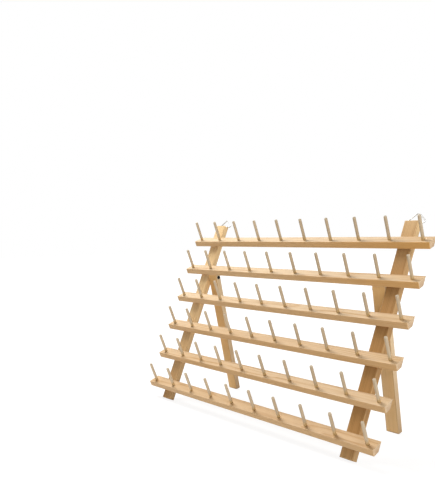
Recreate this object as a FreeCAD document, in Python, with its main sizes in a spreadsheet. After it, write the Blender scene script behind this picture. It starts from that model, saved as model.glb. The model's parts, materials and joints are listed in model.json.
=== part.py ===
import FreeCAD, Part
import os
import Sketcher

# Folding thread rack: six pegged rails on two front legs, propped by two hinged back legs.
# Millimetres, +Z up, +X to the rack's right, front towards -Y, origin on the floor under the middle.
# Rack frame: X across, V up the front legs, N out of their front faces, zero on the top row's peg line.

SIZES = {
    # Rails and pegs
    "peg_pitch": 42.0,
    "peg_count": 10,
    "peg_dia": 3.8,
    "peg_reach": 28.4,
    "peg_tip": 0.7,
    "peg_seat": 5.5,
    "tenon_dia": 3.2,
    "tenon_neck": 0.2,
    "tenon_fit": 0.05,
    "peg_angle": 45.0,
    "row_pitch": 45.0,
    "rail_overhang": 10.5,
    "rail_thick": 8.0,
    "rail_front": 6.5,
    "rail_ease": 0.6,
    # Front legs and the stance of the whole rack
    "lean": 24.0,
    "leg_inside": 155.0,
    "leg_wide": 17.5,
    "leg_thick": 8.0,
    "leg_setback": 7.0,
    "leg_above": 26.5,
    "leg_foot": 21.5,
    "row1_back": 35.539,
    # Back legs and their pivots
    "open_angle": 36.0,
    "pivot_drop": 55.0,
    "swing_gap": 0.6,
    "fold_clear": 0.3,
    "stop_gap": 0.3,
    "back_ease": 1.4,
    "pivot_dia": 3.2,
    "pivot_fit": 0.08,
    "pivot_bite": 12.0,
    "pivot_point": 2.0,
    "pivot_head_dia": 6.0,
    "pivot_head_tall": 2.0,
    "pivot_head_gap": 0.25,
    "pivot_head_ease": 0.9,
    # Nails through the front legs into the rails
    "nail_below": 1.0,
    "nail_dia": 1.6,
    "nail_bite": 5.5,
    "nail_head_dia": 3.2,
    "nail_head_tall": 0.8,
    "drive_fit": 0.02,
    # Hanging rings, straps and their screws
    "ring_rise": 1.5,
    "ring_wide": 21.0,
    "ring_tall": 11.5,
    "ring_bend": 2.0,
    "wire_dia": 1.6,
    "wire_fit": 0.08,
    "strap_wide": 8.0,
    "strap_long": 17.0,
    "strap_thick": 0.8,
    "strap_screw_drop": 10.5,
    "strap_screw_dia": 2.6,
    "strap_screw_bite": 6.0,
    "strap_screw_head_dia": 5.0,
    "strap_screw_head_tall": 1.4,
    "strap_screw_ease": 0.5,
}
ROW_COUNT = 6
SIDES = {"left": -1, "right": 1}

doc = FreeCAD.newDocument("thread_rack")
sheet = doc.addObject("Spreadsheet::Sheet", "Sizes")
for line, (alias, number) in enumerate(SIZES.items(), start=1):
    sheet.set(f"A{line}", alias)
    sheet.set(f"B{line}", str(number))
    sheet.setAlias(f"B{line}", alias)
doc.recompute()

nodes = []


def sized(text):
    """Writes every size's alias in an expression as a cell of the sheet."""
    words = []
    word = ""
    for mark in text + " ":
        if mark.isalnum() or mark == "_":
            word += mark
        else:
            words.append(f"Sizes.{word}" if word in SIZES else word)
            words.append(mark)
            word = ""
    return "".join(words).strip()


def value(text):
    """The number that an expression has now."""
    return float(sheet.evalExpression(sized(text)))


# Expressions that several pieces share
LEG_BELOW = f"({ROW_COUNT - 1} * row_pitch + leg_foot)"
LIFT = f"({LEG_BELOW} * cos(lean) + (leg_setback + leg_thick) * sin(lean))"
LEG_MID = "(leg_inside + leg_wide / 2)"
LEG_BACK = "(-leg_setback - leg_thick)"
LEG_TILT = "90 - lean"
PEG_TILT = "90 - lean + peg_angle"
ROW_SPAN = "((peg_count - 1) * peg_pitch)"
BACK_HALF = "(leg_thick / 2 - fold_clear)"
LOOP_OUTER = "(wire_dia / 2 + wire_fit + strap_thick)"


def bind(item, **expressions):
    """Ties properties of a document object to the sheet."""
    for name, text in expressions.items():
        item.setExpression(name.replace("__", "."), sized(text))


def place(item, across, up, out, tilt):
    """Sets a piece at X, V and N in the rack frame, turned about X by the tilt."""
    item.Placement = FreeCAD.Placement(FreeCAD.Vector(), FreeCAD.Rotation(FreeCAD.Vector(1, 0, 0), 10))
    bind(
        item,
        Placement__Base__x=across,
        Placement__Base__y=f"row1_back + ({up}) * sin(lean) - ({out}) * cos(lean)",
        Placement__Base__z=f"{LIFT} + ({up}) * cos(lean) + ({out}) * sin(lean)",
        Placement__Rotation__Angle=tilt,
    )


def new_body(label, across, up, out, tilt):
    body = doc.addObject("PartDesign::Body", label)
    body.Label = label
    place(body, across, up, out, tilt)
    nodes.append(body)
    return body


def datum(body, role):
    return next(item for item in body.Origin.OriginFeatures if item.Role == role)


def new_sketch(body, plane):
    sketch = body.newObject("Sketcher::SketchObject", f"{body.Label}_sketch")
    sketch.AttachmentSupport = [(datum(body, plane), "")]
    sketch.MapMode = "FlatFace"
    return sketch


def pin_point(sketch, piece, end, across, up):
    """Holds one end of a line, or a circle's centre, at two expressions from the sketch's origin."""
    for kind, text in (("DistanceX", across), ("DistanceY", up)):
        rule = sketch.addConstraint(Sketcher.Constraint(kind, -1, 1, piece, end, value(text)))
        sketch.setExpression(f"Constraints[{rule}]", sized(text))


def outline(sketch, corners):
    """Draws a closed outline of straight lines through the corners."""
    points = [FreeCAD.Vector(value(across), value(up)) for across, up in corners]
    for start, stop in zip(points, points[1:] + points[:1]):
        sketch.addGeometry(Part.LineSegment(start, stop))
    for piece, (across, up) in enumerate(corners):
        before = (piece - 1) % len(corners)
        sketch.addConstraint(Sketcher.Constraint("Coincident", before, 2, piece, 1))
        pin_point(sketch, piece, 1, across, up)


def circle(sketch, across, up, radius):
    centre = FreeCAD.Vector(value(across), value(up))
    piece = sketch.addGeometry(Part.Circle(centre, FreeCAD.Vector(0, 0, 1), value(radius)))
    pin_point(sketch, piece, 3, across, up)
    rule = sketch.addConstraint(Sketcher.Constraint("Radius", piece, value(radius)))
    sketch.setExpression(f"Constraints[{rule}]", sized(radius))


def sketch_bend(sketch, centre, radius, before, after):
    """Joins two lines of a sketch with a tangent arc."""
    start = sketch.Geometry[before].EndPoint - centre
    stop = sketch.Geometry[after].StartPoint - centre
    middle = centre + (start + stop).normalize() * radius
    arc = sketch.addGeometry(Part.Arc(centre + start, middle, centre + stop))
    sketch.addConstraint(Sketcher.Constraint("Tangent", before, 2, arc, 1))
    sketch.addConstraint(Sketcher.Constraint("Tangent", arc, 2, after, 1))
    return arc


def pad(body, sketch, length, middle=False):
    feature = body.newObject("PartDesign::Pad", f"{body.Label}_pad")
    feature.Profile = sketch
    feature.SideType = "Symmetric" if middle else "One side"
    bind(feature, Length=length)
    doc.recompute()
    return feature


def pocket(body, sketch, depth, towards_normal=False, middle=False):
    """Cuts a sketch into a body and stops if nothing was cut."""
    before = body.Shape.Volume
    feature = body.newObject("PartDesign::Pocket", f"{body.Label}_pocket")
    feature.Profile = sketch
    feature.SideType = "Symmetric" if middle else "One side"
    feature.Reversed = towards_normal
    bind(feature, Length=depth)
    doc.recompute()
    if body.Shape.Volume > before - 0.1:
        raise RuntimeError(f"{body.Label}: a pocket cut nothing")
    return feature


def revolve(body, sketch, axis):
    feature = body.newObject("PartDesign::Revolution", f"{body.Label}_turned")
    feature.Profile = sketch
    feature.ReferenceAxis = (sketch, [axis])
    feature.Angle = 360
    doc.recompute()
    return feature


def repeat(body, features, axis, length, count, backwards=False):
    feature = body.newObject("PartDesign::LinearPattern", f"{body.Label}_row")
    feature.Originals = features
    feature.Direction = (datum(body, axis), [""])
    feature.Reversed = backwards
    bind(feature, Length=length, Occurrences=count)
    body.Tip = feature
    doc.recompute()
    return feature


def make_rail(row):
    """One rail: a strip with its back bevelled to lie on the legs, ten peg holes and two nail holes."""
    body = new_body(f"rail_{row + 1}", "0", f"-{row} * row_pitch", "0", PEG_TILT)
    section = new_sketch(body, "YZ_Plane")
    outline(
        section,
        [
            ("0", "-leg_setback / cos(peg_angle)"),
            ("0", "rail_front - rail_ease"),
            ("-rail_ease", "rail_front"),
            ("rail_ease - rail_thick", "rail_front"),
            ("-rail_thick", "rail_front - rail_ease"),
            ("-rail_thick", "(rail_thick * sin(peg_angle) - leg_setback) / cos(peg_angle)"),
        ],
    )
    pad(body, section, f"{ROW_SPAN} + 2 * rail_overhang", middle=True)
    hole = new_sketch(body, "XZ_Plane")
    circle(hole, f"-{ROW_SPAN} / 2", "0", "tenon_dia / 2 + tenon_fit")
    first = pocket(body, hole, "peg_seat", towards_normal=True)
    repeat(body, [first], "X_Axis", ROW_SPAN, "peg_count")
    pilot = new_sketch(body, "XY_Plane")
    pilot.AttachmentOffset = FreeCAD.Placement(
        FreeCAD.Vector(), FreeCAD.Rotation(FreeCAD.Vector(-1, 0, 0), 10)
    )
    bind(
        pilot,
        AttachmentOffset__Base__y="-leg_setback * sin(peg_angle)",
        AttachmentOffset__Base__z="-leg_setback * cos(peg_angle)",
        AttachmentOffset__Rotation__Angle="peg_angle",
    )
    for side in SIDES.values():
        circle(pilot, f"{side} * {LEG_MID}", "-nail_below", "nail_dia / 2 + drive_fit")
    pocket(body, pilot, "nail_bite", towards_normal=True)


def make_pegs(row):
    """One row of turned pegs, each with a thinner tenon that stands on the floor of its hole."""
    body = new_body(f"pegs_row_{row + 1}", f"-{ROW_SPAN} / 2", f"-{row} * row_pitch", "0", PEG_TILT)
    profile = new_sketch(body, "XY_Plane")
    outline(
        profile,
        [
            ("0", "-peg_seat"),
            ("tenon_dia / 2", "-peg_seat"),
            ("tenon_dia / 2", "tenon_neck"),
            ("peg_dia / 2", "tenon_neck"),
            ("peg_dia / 2", "peg_reach - peg_tip"),
            ("peg_dia / 2 - peg_tip", "peg_reach"),
            ("0", "peg_reach"),
        ],
    )
    turned = revolve(body, profile, "V_Axis")
    repeat(body, [turned], "X_Axis", ROW_SPAN, "peg_count")


def make_front_leg(name, side):
    """One front leg: a square-cut strip with nail holes, a pivot hole and a hanger screw hole."""
    body = new_body(f"{name}_front_leg", f"{side} * {LEG_MID}", "0", LEG_BACK, LEG_TILT)
    face = new_sketch(body, "XY_Plane")
    outline(
        face,
        [
            ("-leg_wide / 2", f"-{LEG_BELOW}"),
            ("leg_wide / 2", f"-{LEG_BELOW}"),
            ("leg_wide / 2", "leg_above"),
            ("-leg_wide / 2", "leg_above"),
        ],
    )
    pad(body, face, "leg_thick")
    shank_hole = new_sketch(body, "XY_Plane")
    circle(shank_hole, "0", "-nail_below", "nail_dia / 2 + drive_fit")
    shank_cut = pocket(body, shank_hole, "leg_thick", towards_normal=True)
    head_hole = new_sketch(body, "XY_Plane")
    circle(head_hole, "0", "-nail_below", "nail_head_dia / 2 + drive_fit")
    head_cut = pocket(body, head_hole, "nail_head_tall", towards_normal=True)
    repeat(
        body, [shank_cut, head_cut], "Y_Axis", f"{ROW_COUNT - 1} * row_pitch", f"{ROW_COUNT}", backwards=True
    )
    hanger_hole = new_sketch(body, "XY_Plane")
    circle(hanger_hole, "0", "leg_above + ring_rise - strap_screw_drop", "strap_screw_dia / 2 + drive_fit")
    pocket(body, hanger_hole, "strap_screw_bite", towards_normal=True)
    pivot_hole = new_sketch(body, "YZ_Plane")
    bind(pivot_hole, AttachmentOffset__Base__z=f"{-side} * leg_wide / 2")
    circle(pivot_hole, "-pivot_drop", "leg_thick / 2", "pivot_dia / 2 + drive_fit")
    pocket(body, pivot_hole, "pivot_bite", towards_normal=side > 0)


def make_back_leg(name, side):
    """One back leg: its sloped top seats under the second rail when open, its foot reaches the floor."""
    across = f"{side} * (leg_inside - swing_gap - leg_wide / 2)"
    body = new_body(
        f"{name}_back_leg", across, "-pivot_drop", f"{LEG_BACK} + leg_thick / 2", "90 - lean + open_angle"
    )
    seat = (
        "((pivot_drop - row_pitch) * cos(peg_angle) + (leg_setback + leg_thick / 2) * sin(peg_angle)"
        " - rail_thick - stop_gap)"
    )
    slope = "(peg_angle - open_angle)"
    reach = (
        f"((({LEG_BELOW} - pivot_drop) * cos(lean) + leg_thick / 2 * sin(lean)"
        f" - {BACK_HALF} * sin(open_angle - lean)) / cos(open_angle - lean))"
    )
    side_view = new_sketch(body, "YZ_Plane")
    outline(
        side_view,
        [
            (f"-{reach}", f"-{BACK_HALF}"),
            (f"-{reach}", BACK_HALF),
            (f"({seat} - {BACK_HALF} * sin{slope}) / cos{slope} - back_ease", BACK_HALF),
            (f"({seat} - ({BACK_HALF} - back_ease) * sin{slope}) / cos{slope}", f"{BACK_HALF} - back_ease"),
            (f"({seat} + {BACK_HALF} * sin{slope}) / cos{slope}", f"-{BACK_HALF}"),
        ],
    )
    pad(body, side_view, "leg_wide", middle=True)
    hole = new_sketch(body, "YZ_Plane")
    circle(hole, "0", "0", "pivot_dia / 2 + pivot_fit")
    pocket(body, hole, "2 * leg_wide", middle=True)


def make_pivot_screw(name, side):
    """One pivot screw: it runs through the back leg and bites into the front leg's edge."""
    body = new_body(
        f"{name}_pivot_screw",
        f"{side} * (leg_inside - swing_gap - leg_wide)",
        "-pivot_drop",
        f"{LEG_BACK} + leg_thick / 2",
        LEG_TILT,
    )
    head_end = "(-pivot_head_gap - pivot_head_tall)"
    tip = "(leg_wide + swing_gap + pivot_bite)"
    profile = new_sketch(body, "XY_Plane")
    outline(
        profile,
        [
            (f"{side} * {head_end}", "0"),
            (f"{side} * {head_end}", "pivot_head_dia / 2 - pivot_head_ease"),
            (f"{side} * ({head_end} + pivot_head_ease)", "pivot_head_dia / 2"),
            (f"-{side} * pivot_head_gap", "pivot_head_dia / 2"),
            (f"-{side} * pivot_head_gap", "pivot_dia / 2"),
            (f"{side} * ({tip} - pivot_point)", "pivot_dia / 2"),
            (f"{side} * {tip}", "0"),
        ],
    )
    revolve(body, profile, "H_Axis")


def make_rail_nails(name, side):
    """Six nails, driven flush from behind through one front leg into the rails."""
    body = new_body(f"{name}_rail_nails", f"{side} * {LEG_MID}", "-nail_below", LEG_BACK, LEG_TILT)
    profile = new_sketch(body, "XZ_Plane")
    outline(
        profile,
        [
            ("0", "0"),
            ("nail_head_dia / 2", "0"),
            ("nail_head_dia / 2", "nail_head_tall"),
            ("nail_dia / 2", "nail_head_tall"),
            ("nail_dia / 2", "leg_thick + nail_bite - nail_dia"),
            ("0", "leg_thick + nail_bite"),
        ],
    )
    turned = revolve(body, profile, "V_Axis")
    repeat(body, [turned], "Y_Axis", f"{ROW_COUNT - 1} * row_pitch", f"{ROW_COUNT}", backwards=True)


def make_hanger_strap(name, side):
    """One hanger strap: a plate on the leg's back with a loop at its top for the ring's wire."""
    body = new_body(
        f"{name}_hanger_strap", f"{side} * {LEG_MID}", "leg_above + ring_rise", LEG_BACK, LEG_TILT
    )
    plate = new_sketch(body, "YZ_Plane")
    outline(
        plate,
        [("-strap_long", "-strap_thick"), ("0", "-strap_thick"), ("0", "0"), ("-strap_long", "0")],
    )
    pad(body, plate, "strap_wide", middle=True)
    loop = new_sketch(body, "YZ_Plane")
    circle(loop, "0", f"-{LOOP_OUTER}", LOOP_OUTER)
    pad(body, loop, "strap_wide", middle=True)
    bore = new_sketch(body, "YZ_Plane")
    circle(bore, "0", f"-{LOOP_OUTER}", "wire_dia / 2 + wire_fit")
    pocket(body, bore, "2 * strap_wide", middle=True)
    screw_hole = new_sketch(body, "XY_Plane")
    circle(screw_hole, "0", "-strap_screw_drop", "strap_screw_dia / 2 + drive_fit")
    pocket(body, screw_hole, "2 * strap_thick")


def make_hanger_ring(name, side):
    """One hanging ring: a wire triangle with bent corners, its base wire in the strap's loop."""
    body = new_body(
        f"{name}_hanger_ring",
        f"{side} * {LEG_MID}",
        "leg_above + ring_rise",
        f"{LEG_BACK} - {LOOP_OUTER}",
        LEG_TILT,
    )
    path = new_sketch(body, "XY_Plane")
    wide, tall, bend = value("ring_wide"), value("ring_tall"), value("ring_bend")
    corners = [
        FreeCAD.Vector(-wide / 2, 0),
        FreeCAD.Vector(wide / 2, 0),
        FreeCAD.Vector(0, tall),
    ]
    centres = [
        FreeCAD.Vector(bend - wide / 2, bend),
        FreeCAD.Vector(wide / 2 - bend, bend),
        FreeCAD.Vector(0, tall - bend),
    ]
    sides = []
    for index, centre in enumerate(centres):
        following = (index + 1) % len(centres)
        along = (corners[following] - corners[index]).normalize()
        outward = FreeCAD.Vector(along.y, -along.x) * bend
        sides.append(path.addGeometry(Part.LineSegment(centre + outward, centres[following] + outward)))
    arcs = []
    for index, centre in enumerate(centres):
        before, after = sides[index - 1], sides[index]
        arcs.append(sketch_bend(path, centre, bend, before, after))
    path.addConstraint(Sketcher.Constraint("PointOnObject", sides[0], 1, -1))
    path.addConstraint(Sketcher.Constraint("PointOnObject", arcs[2], 3, -2))
    path.addConstraint(Sketcher.Constraint("Symmetric", arcs[0], 3, arcs[1], 3, -2))
    path.addConstraint(Sketcher.Constraint("Equal", arcs[0], arcs[1]))
    path.addConstraint(Sketcher.Constraint("Equal", arcs[0], arcs[2]))
    for rule, text in (
        (Sketcher.Constraint("Radius", arcs[0], bend), "ring_bend"),
        (Sketcher.Constraint("DistanceX", -1, 1, arcs[1], 3, wide / 2 - bend), "ring_wide / 2 - ring_bend"),
        (Sketcher.Constraint("DistanceY", -1, 1, arcs[2], 3, tall - bend), "ring_tall - ring_bend"),
    ):
        path.setExpression(f"Constraints[{path.addConstraint(rule)}]", sized(text))
    section = new_sketch(body, "YZ_Plane")
    circle(section, "0", "0", "wire_dia / 2")
    doc.recompute()
    wire = body.newObject("PartDesign::AdditivePipe", f"{body.Label}_wire")
    wire.Profile = section
    wire.Spine = path
    doc.recompute()


def make_hanger_screw(name, side):
    """One round-headed screw that holds a hanger strap to the leg."""
    body = new_body(
        f"{name}_hanger_screw",
        f"{side} * {LEG_MID}",
        "leg_above + ring_rise - strap_screw_drop",
        f"{LEG_BACK} - strap_thick",
        LEG_TILT,
    )
    tip = "(strap_thick + strap_screw_bite)"
    profile = new_sketch(body, "XZ_Plane")
    outline(
        profile,
        [
            ("0", "-strap_screw_head_tall"),
            ("strap_screw_head_dia / 2 - strap_screw_ease", "-strap_screw_head_tall"),
            ("strap_screw_head_dia / 2", "strap_screw_ease - strap_screw_head_tall"),
            ("strap_screw_head_dia / 2", "0"),
            ("strap_screw_dia / 2", "0"),
            ("strap_screw_dia / 2", f"{tip} - strap_screw_dia / 2"),
            ("0", tip),
        ],
    )
    revolve(body, profile, "V_Axis")


for row in range(ROW_COUNT):
    make_rail(row)
    make_pegs(row)
for name, side in SIDES.items():
    make_front_leg(name, side)
    make_back_leg(name, side)
    make_pivot_screw(name, side)
    make_rail_nails(name, side)
    make_hanger_strap(name, side)
    make_hanger_ring(name, side)
    make_hanger_screw(name, side)
doc.recompute()

# Every object must have been made well before anything is written
for item in doc.Objects:
    if any(state in ("Invalid", "Error") for state in item.State):
        raise RuntimeError(f"{item.Label} failed: {item.State}")
for node in nodes:
    if node.Shape.isNull() or not node.Shape.isValid():
        raise RuntimeError(f"{node.Label} has no valid shape")

os.makedirs("parts", exist_ok=True)
whole = FreeCAD.BoundBox()
for node in nodes:
    node.Shape.exportStep(f"parts/{node.Label}.step")
    whole.add(node.Shape.BoundBox)
    print(f"{node.Label}: {len(node.Shape.Solids)} solids, {node.Shape.Volume:.1f} mm3")
print(f"whole: {whole}")
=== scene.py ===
# %% [markdown]
# # A folding peg rack in pale wood
# The rack has six rails with ten pegs each. Two leaning front legs carry the rails, and two
# hinged back legs prop them up. It could all be modelled here from nothing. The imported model
# already gives every place, size and joint, so this lesson starts from it and adds what a maker's
# hands add: eased edges, rounded peg tips, bent wire and real grain. Lengths are in metres.

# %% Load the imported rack
import json
import math

import bmesh
import bpy
from mathutils import Matrix, Vector


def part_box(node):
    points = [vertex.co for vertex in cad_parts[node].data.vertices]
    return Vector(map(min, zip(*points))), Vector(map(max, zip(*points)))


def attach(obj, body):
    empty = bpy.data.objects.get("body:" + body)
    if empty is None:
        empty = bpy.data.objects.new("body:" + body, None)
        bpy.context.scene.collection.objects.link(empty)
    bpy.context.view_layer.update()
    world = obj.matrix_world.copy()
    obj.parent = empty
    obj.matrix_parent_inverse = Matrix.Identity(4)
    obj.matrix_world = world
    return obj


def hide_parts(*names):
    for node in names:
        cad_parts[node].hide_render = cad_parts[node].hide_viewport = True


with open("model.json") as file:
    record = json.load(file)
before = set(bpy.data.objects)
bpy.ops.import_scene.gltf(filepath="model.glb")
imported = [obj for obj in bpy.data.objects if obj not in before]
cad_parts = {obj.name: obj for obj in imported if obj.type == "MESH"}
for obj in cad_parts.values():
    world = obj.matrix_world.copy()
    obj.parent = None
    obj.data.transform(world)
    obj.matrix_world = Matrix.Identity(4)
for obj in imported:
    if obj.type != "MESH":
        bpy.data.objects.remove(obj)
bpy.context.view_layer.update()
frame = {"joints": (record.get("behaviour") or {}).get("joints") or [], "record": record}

MM = 0.001


# %% [markdown]
# ## The rack's own directions
# Everything on the rack is slanted, so a piece is easier to make lying straight on a bench and to
# carry to its place afterwards. The directions could be typed in as angles. They are read from
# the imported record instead: the end pegs of each row give the peg direction and the line on which
# each row stands.

# %% Read the peg lines and the directions of the strips
ROWS = 6
PEGS_PER_ROW = 10
PEG_NECK = 0.2 * MM
ACROSS = Vector((1, 0, 0))
pins = {mount["name"]: mount for mount in frame["record"]["mounts"] if mount["kind"] == "pin"}


def peg_foot(row, side):
    """Where the end peg of a row meets the top of its rail."""
    pin = pins[f"peg_row_{row + 1}_{side}"]
    half_wall = pin["dims"]["length_mm"] * MM / 2
    return Vector(pin["pos_m"]) - Vector(pin["axis"]) * (half_wall + PEG_NECK)


row_middles = [(peg_foot(row, "left") + peg_foot(row, "right")) / 2 for row in range(ROWS)]
row_span = (peg_foot(0, "right") - peg_foot(0, "left")).length
peg_pitch = row_span / (PEGS_PER_ROW - 1)
peg_radius = pins["peg_row_1_left"]["dims"]["r_mm"] * MM
peg_up = Vector(pins["peg_row_1_left"]["axis"])
rail_front = ACROSS.cross(peg_up)
leg_up = (row_middles[0] - row_middles[-1]).normalized()
leg_front = ACROSS.cross(leg_up)
row_pitch = (row_middles[0] - row_middles[-1]).length / (ROWS - 1)
lean = math.degrees(math.atan2(leg_up.y, leg_up.z))
print(f"the legs lean back by {lean:.1f} degrees")
print(f"rows are {row_pitch / MM:.1f} mm apart and pegs {peg_pitch / MM:.1f} mm")

# %% [markdown]
# ## A bench for the strips
# On the bench a strip lies straight, with its grain along X. There each point takes notes: its
# place in the wood and the number of its board, how deep the wood is, how much painted warm shade
# a rail's front gets, and whether it is on an edge, a sawn end or the underside. Edges get wear and
# painted highlight, undersides get painted shade, and the sides of the legs get painted light in
# their depth. The wood finish reads these notes later, so the grain follows the strip wherever it
# is carried. Object coordinates would need one finish for each slant.

# %% Start a bench shape
# The low note marks the underside for painted shade, the edge note carries wear and painted
# highlight, and the warm note holds painted warm shade on a rail's front.
NOTES = ("board", "deep", "edge", "sawn", "low", "warm")


def new_bench():
    shape = bmesh.new()
    shape.verts.layers.float_vector.new("grain")
    for note in NOTES:
        shape.verts.layers.float.new(note)
    return shape


print("bench notes: grain,", ", ".join(NOTES))

# %% [markdown]
# ## Eased edges
# A maker takes the sharpness off every edge with a stroke or two of the plane. A Bevel modifier
# could do that, but the notes have to tell an edge, which gets wear and a painted highlight, from a
# flat face. So the edges are bevelled here, and the directions of the flats are kept from just
# before. Faces too small to count, such as the walls of a hole, are left out.

# %% Ease the edges of a strip
EASE_WIDTH = 0.4 * MM
EASE_STEPS = 2
ROUNDER = 2
ROUNDER_STEPS = 3
EDGE_ANGLE = 40
LEAST_FLAT = 20 * MM * MM


def sharp_edges(shape, least=EDGE_ANGLE):
    return [edge for edge in shape.edges if edge.calc_face_angle(0) > math.radians(least)]


def ease(shape, edges, width, steps):
    bmesh.ops.bevel(
        shape, geom=edges, offset=width, offset_type="OFFSET", affect="EDGES",
        segments=steps, profile=0.5, material=-1, clamp_overlap=True,
    )


def ease_strip(shape, width, round_edges):
    """Eases a strip, some of its edges rounder, and gives the directions that its flats face."""
    shape.normal_update()
    directions = [face.normal.copy() for face in shape.faces if face.calc_area() > LEAST_FLAT]
    if round_edges:
        ease(shape, round_edges, ROUNDER * width, ROUNDER_STEPS)
    ease(shape, sharp_edges(shape), width, EASE_STEPS)
    return directions


print(f"edges are eased by {EASE_WIDTH / MM:.1f} mm")

# %% [markdown]
# ## Tones along a strip
# A board isn't one tone from end to end, and its wear and painted highlight stay close to its
# edges. Both could be painted on as a picture, which would need unwrapping. Notes only need points
# in the right places: a strip is cut across wherever its tone may turn, and each long flat gets a
# narrow margin that holds the wear and painted highlight. A side with a hole in it has no margin,
# because the hole's rim would cross it.

# %% Cut a strip where its tone turns
def tone_at(tones, share):
    """The tone at a share of the strip's length, in straight runs between evenly spaced tones."""
    spot = share * (len(tones) - 1)
    step = min(int(spot), len(tones) - 2)
    return tones[step] + (tones[step + 1] - tones[step]) * (spot - step)


def reach(shape):
    """Where a strip starts and stops on the bench."""
    along = [vert.co.x for vert in shape.verts]
    return min(along), max(along)


def cut_runs(shape, runs):
    start, stop = reach(shape)
    for cut in range(1, runs):
        everything = shape.verts[:] + shape.edges[:] + shape.faces[:]
        along = start + (stop - start) * cut / runs
        bmesh.ops.bisect_plane(shape, geom=everything, plane_co=(along, 0, 0), plane_no=(1, 0, 0))


print("halfway from tone 0 to tone 1:", tone_at((0, 1), 0.5))

# %% Set a margin in the flats
WEAR_MARGIN = 1.1 * MM
SAME_WAY = 0.9999
NOT_END_ON = 0.5


def margin_flats(shape, directions, holed):
    """Finds a strip's flats and sets a margin inside the long ones."""
    shape.normal_update()
    flats = [
        face for face in shape.faces
        if any(face.normal.dot(way) > SAME_WAY for way in directions)
    ]
    long_flats = [face for face in flats if abs(face.normal.x) < NOT_END_ON]
    if holed:
        long_flats = [face for face in long_flats if abs(face.normal.z) < NOT_END_ON]
    bmesh.ops.inset_region(
        shape, faces=long_flats, thickness=WEAR_MARGIN, use_even_offset=True, use_boundary=True,
    )
    return flats


print(f"wear reaches {WEAR_MARGIN / MM:.1f} mm into a flat")

# %% Dress a strip and write its notes
END_ON = 0.9


def points_of(faces):
    """The points of some faces, each of them once."""
    return list(dict.fromkeys(vert for face in faces for vert in face.verts))


def dress_strip(
    shape, board, depths, under, front_shade_warmths=(0, 0), painted_side_light=0.0,
    width=EASE_WIDTH, round_edges=(), holed=False,
):
    """Eases a strip and writes its notes. The depths are tones along it, and the warm tones are
    painted warm shade along a rail's front. Its sides may be deeper, or paler as painted light.
    Under is the way down once the strip is in its place, and the points nearest it are marked for
    painted shade."""
    directions = ease_strip(shape, width, round_edges)
    cut_runs(shape, len(depths) - 1)
    flats = margin_flats(shape, directions, holed)
    grain = shape.verts.layers.float_vector["grain"]
    number, deep, edge, sawn, low, warm = (shape.verts.layers.float[note] for note in NOTES)
    start, stop = reach(shape)
    lowest = max(vert.co.dot(under) for vert in shape.verts) - width
    for vert in shape.verts:
        share = (vert.co.x - start) / (stop - start)
        vert[grain] = vert.co
        vert[number] = board
        vert[deep] = tone_at(depths, share)
        vert[warm] = tone_at(front_shade_warmths, share)
        vert[edge] = 1
        # Points at the underside are marked for painted shade.
        vert[low] = vert.co.dot(under) > lowest
    for vert in points_of(flats):
        vert[edge] = 0
    for vert in points_of(face for face in flats if abs(face.normal.x) > END_ON):
        vert[sawn] = 1
    # Painted light: the sides are shifted paler in depth.
    for vert in points_of(face for face in flats if abs(face.normal.z) > END_ON):
        vert[deep] += painted_side_light


print("a dressed strip has", 1 + len(NOTES), "notes at each point")

# %% [markdown]
# ## From the bench to the rack
# A piece is carried by one matrix, made from where its own three axes point on the rack. Moving
# and turning the object would look the same, but a place that is in the mesh, as with the packed
# nodes, keeps the object at the origin. A planed strip is flat right up to its eased edges.
# Smooth shading alone would make it look like soap, so each point's shading leans to the broadest
# faces round it.

# %% Carry a piece to its place
SAME_SPOT = 0.001 * MM
CREASE = math.radians(50)


def seat(origin, x_axis, y_axis, z_axis):
    return Matrix.Translation(origin) @ Matrix((x_axis, y_axis, z_axis)).transposed().to_4x4()


def flat_shading(vert):
    """The direction in which a planed strip is shaded at a point."""
    leanings = [face.normal * face.calc_area() ** 2 for face in vert.link_faces]
    return sum(leanings, Vector()).normalized()


def carry(node, work, shape, place, body):
    """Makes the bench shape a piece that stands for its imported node, named for how it is worked."""
    name = f"{node}_{work}"
    bmesh.ops.remove_doubles(shape, verts=shape.verts, dist=SAME_SPOT)
    bmesh.ops.recalc_face_normals(shape, faces=shape.faces)
    shape.transform(place)
    mesh = bpy.data.meshes.new(name)
    shape.to_mesh(mesh)
    mesh.shade_smooth()
    if work == "planed":
        shape.normal_update()
        mesh.normals_split_custom_set_from_vertices([flat_shading(vert) for vert in shape.verts])
    else:
        mesh.set_sharp_from_angle(angle=CREASE)
    shape.free()
    piece = bpy.data.objects.new(name, mesh)
    bpy.context.scene.collection.objects.link(piece)
    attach(piece, body)
    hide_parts(node)
    return piece


# %% [markdown]
# ## Rails
# Each rail is a planed strip whose back is sawn at an angle, so that it lies on the slanted legs
# while its top stays square to the pegs. A cube would have the wrong back. Here the four corners
# of the end are drawn once and pulled along the grain. The two front edges are rounder than the
# rest. Each rail has its own depth of tone, because it is cut from its own part of a board, and
# its own amount of painted warm shade on its front.

# %% Draw the end of a rail and pull it along
RAIL_THICK = 8.0 * MM
RAIL_FRONT = 6.5 * MM
LEG_SETBACK = 7.0 * MM
rail_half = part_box("rail_1")[1].x
slant = peg_up.angle(leg_up)
rail_corners = [
    (0, -LEG_SETBACK / math.cos(slant)),
    (0, RAIL_FRONT),
    (-RAIL_THICK, RAIL_FRONT),
    (-RAIL_THICK, (RAIL_THICK * math.sin(slant) - LEG_SETBACK) / math.cos(slant)),
]


def points_in(items):
    """The points among what an operator gives back."""
    return [item for item in items if isinstance(item, bmesh.types.BMVert)]


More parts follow.
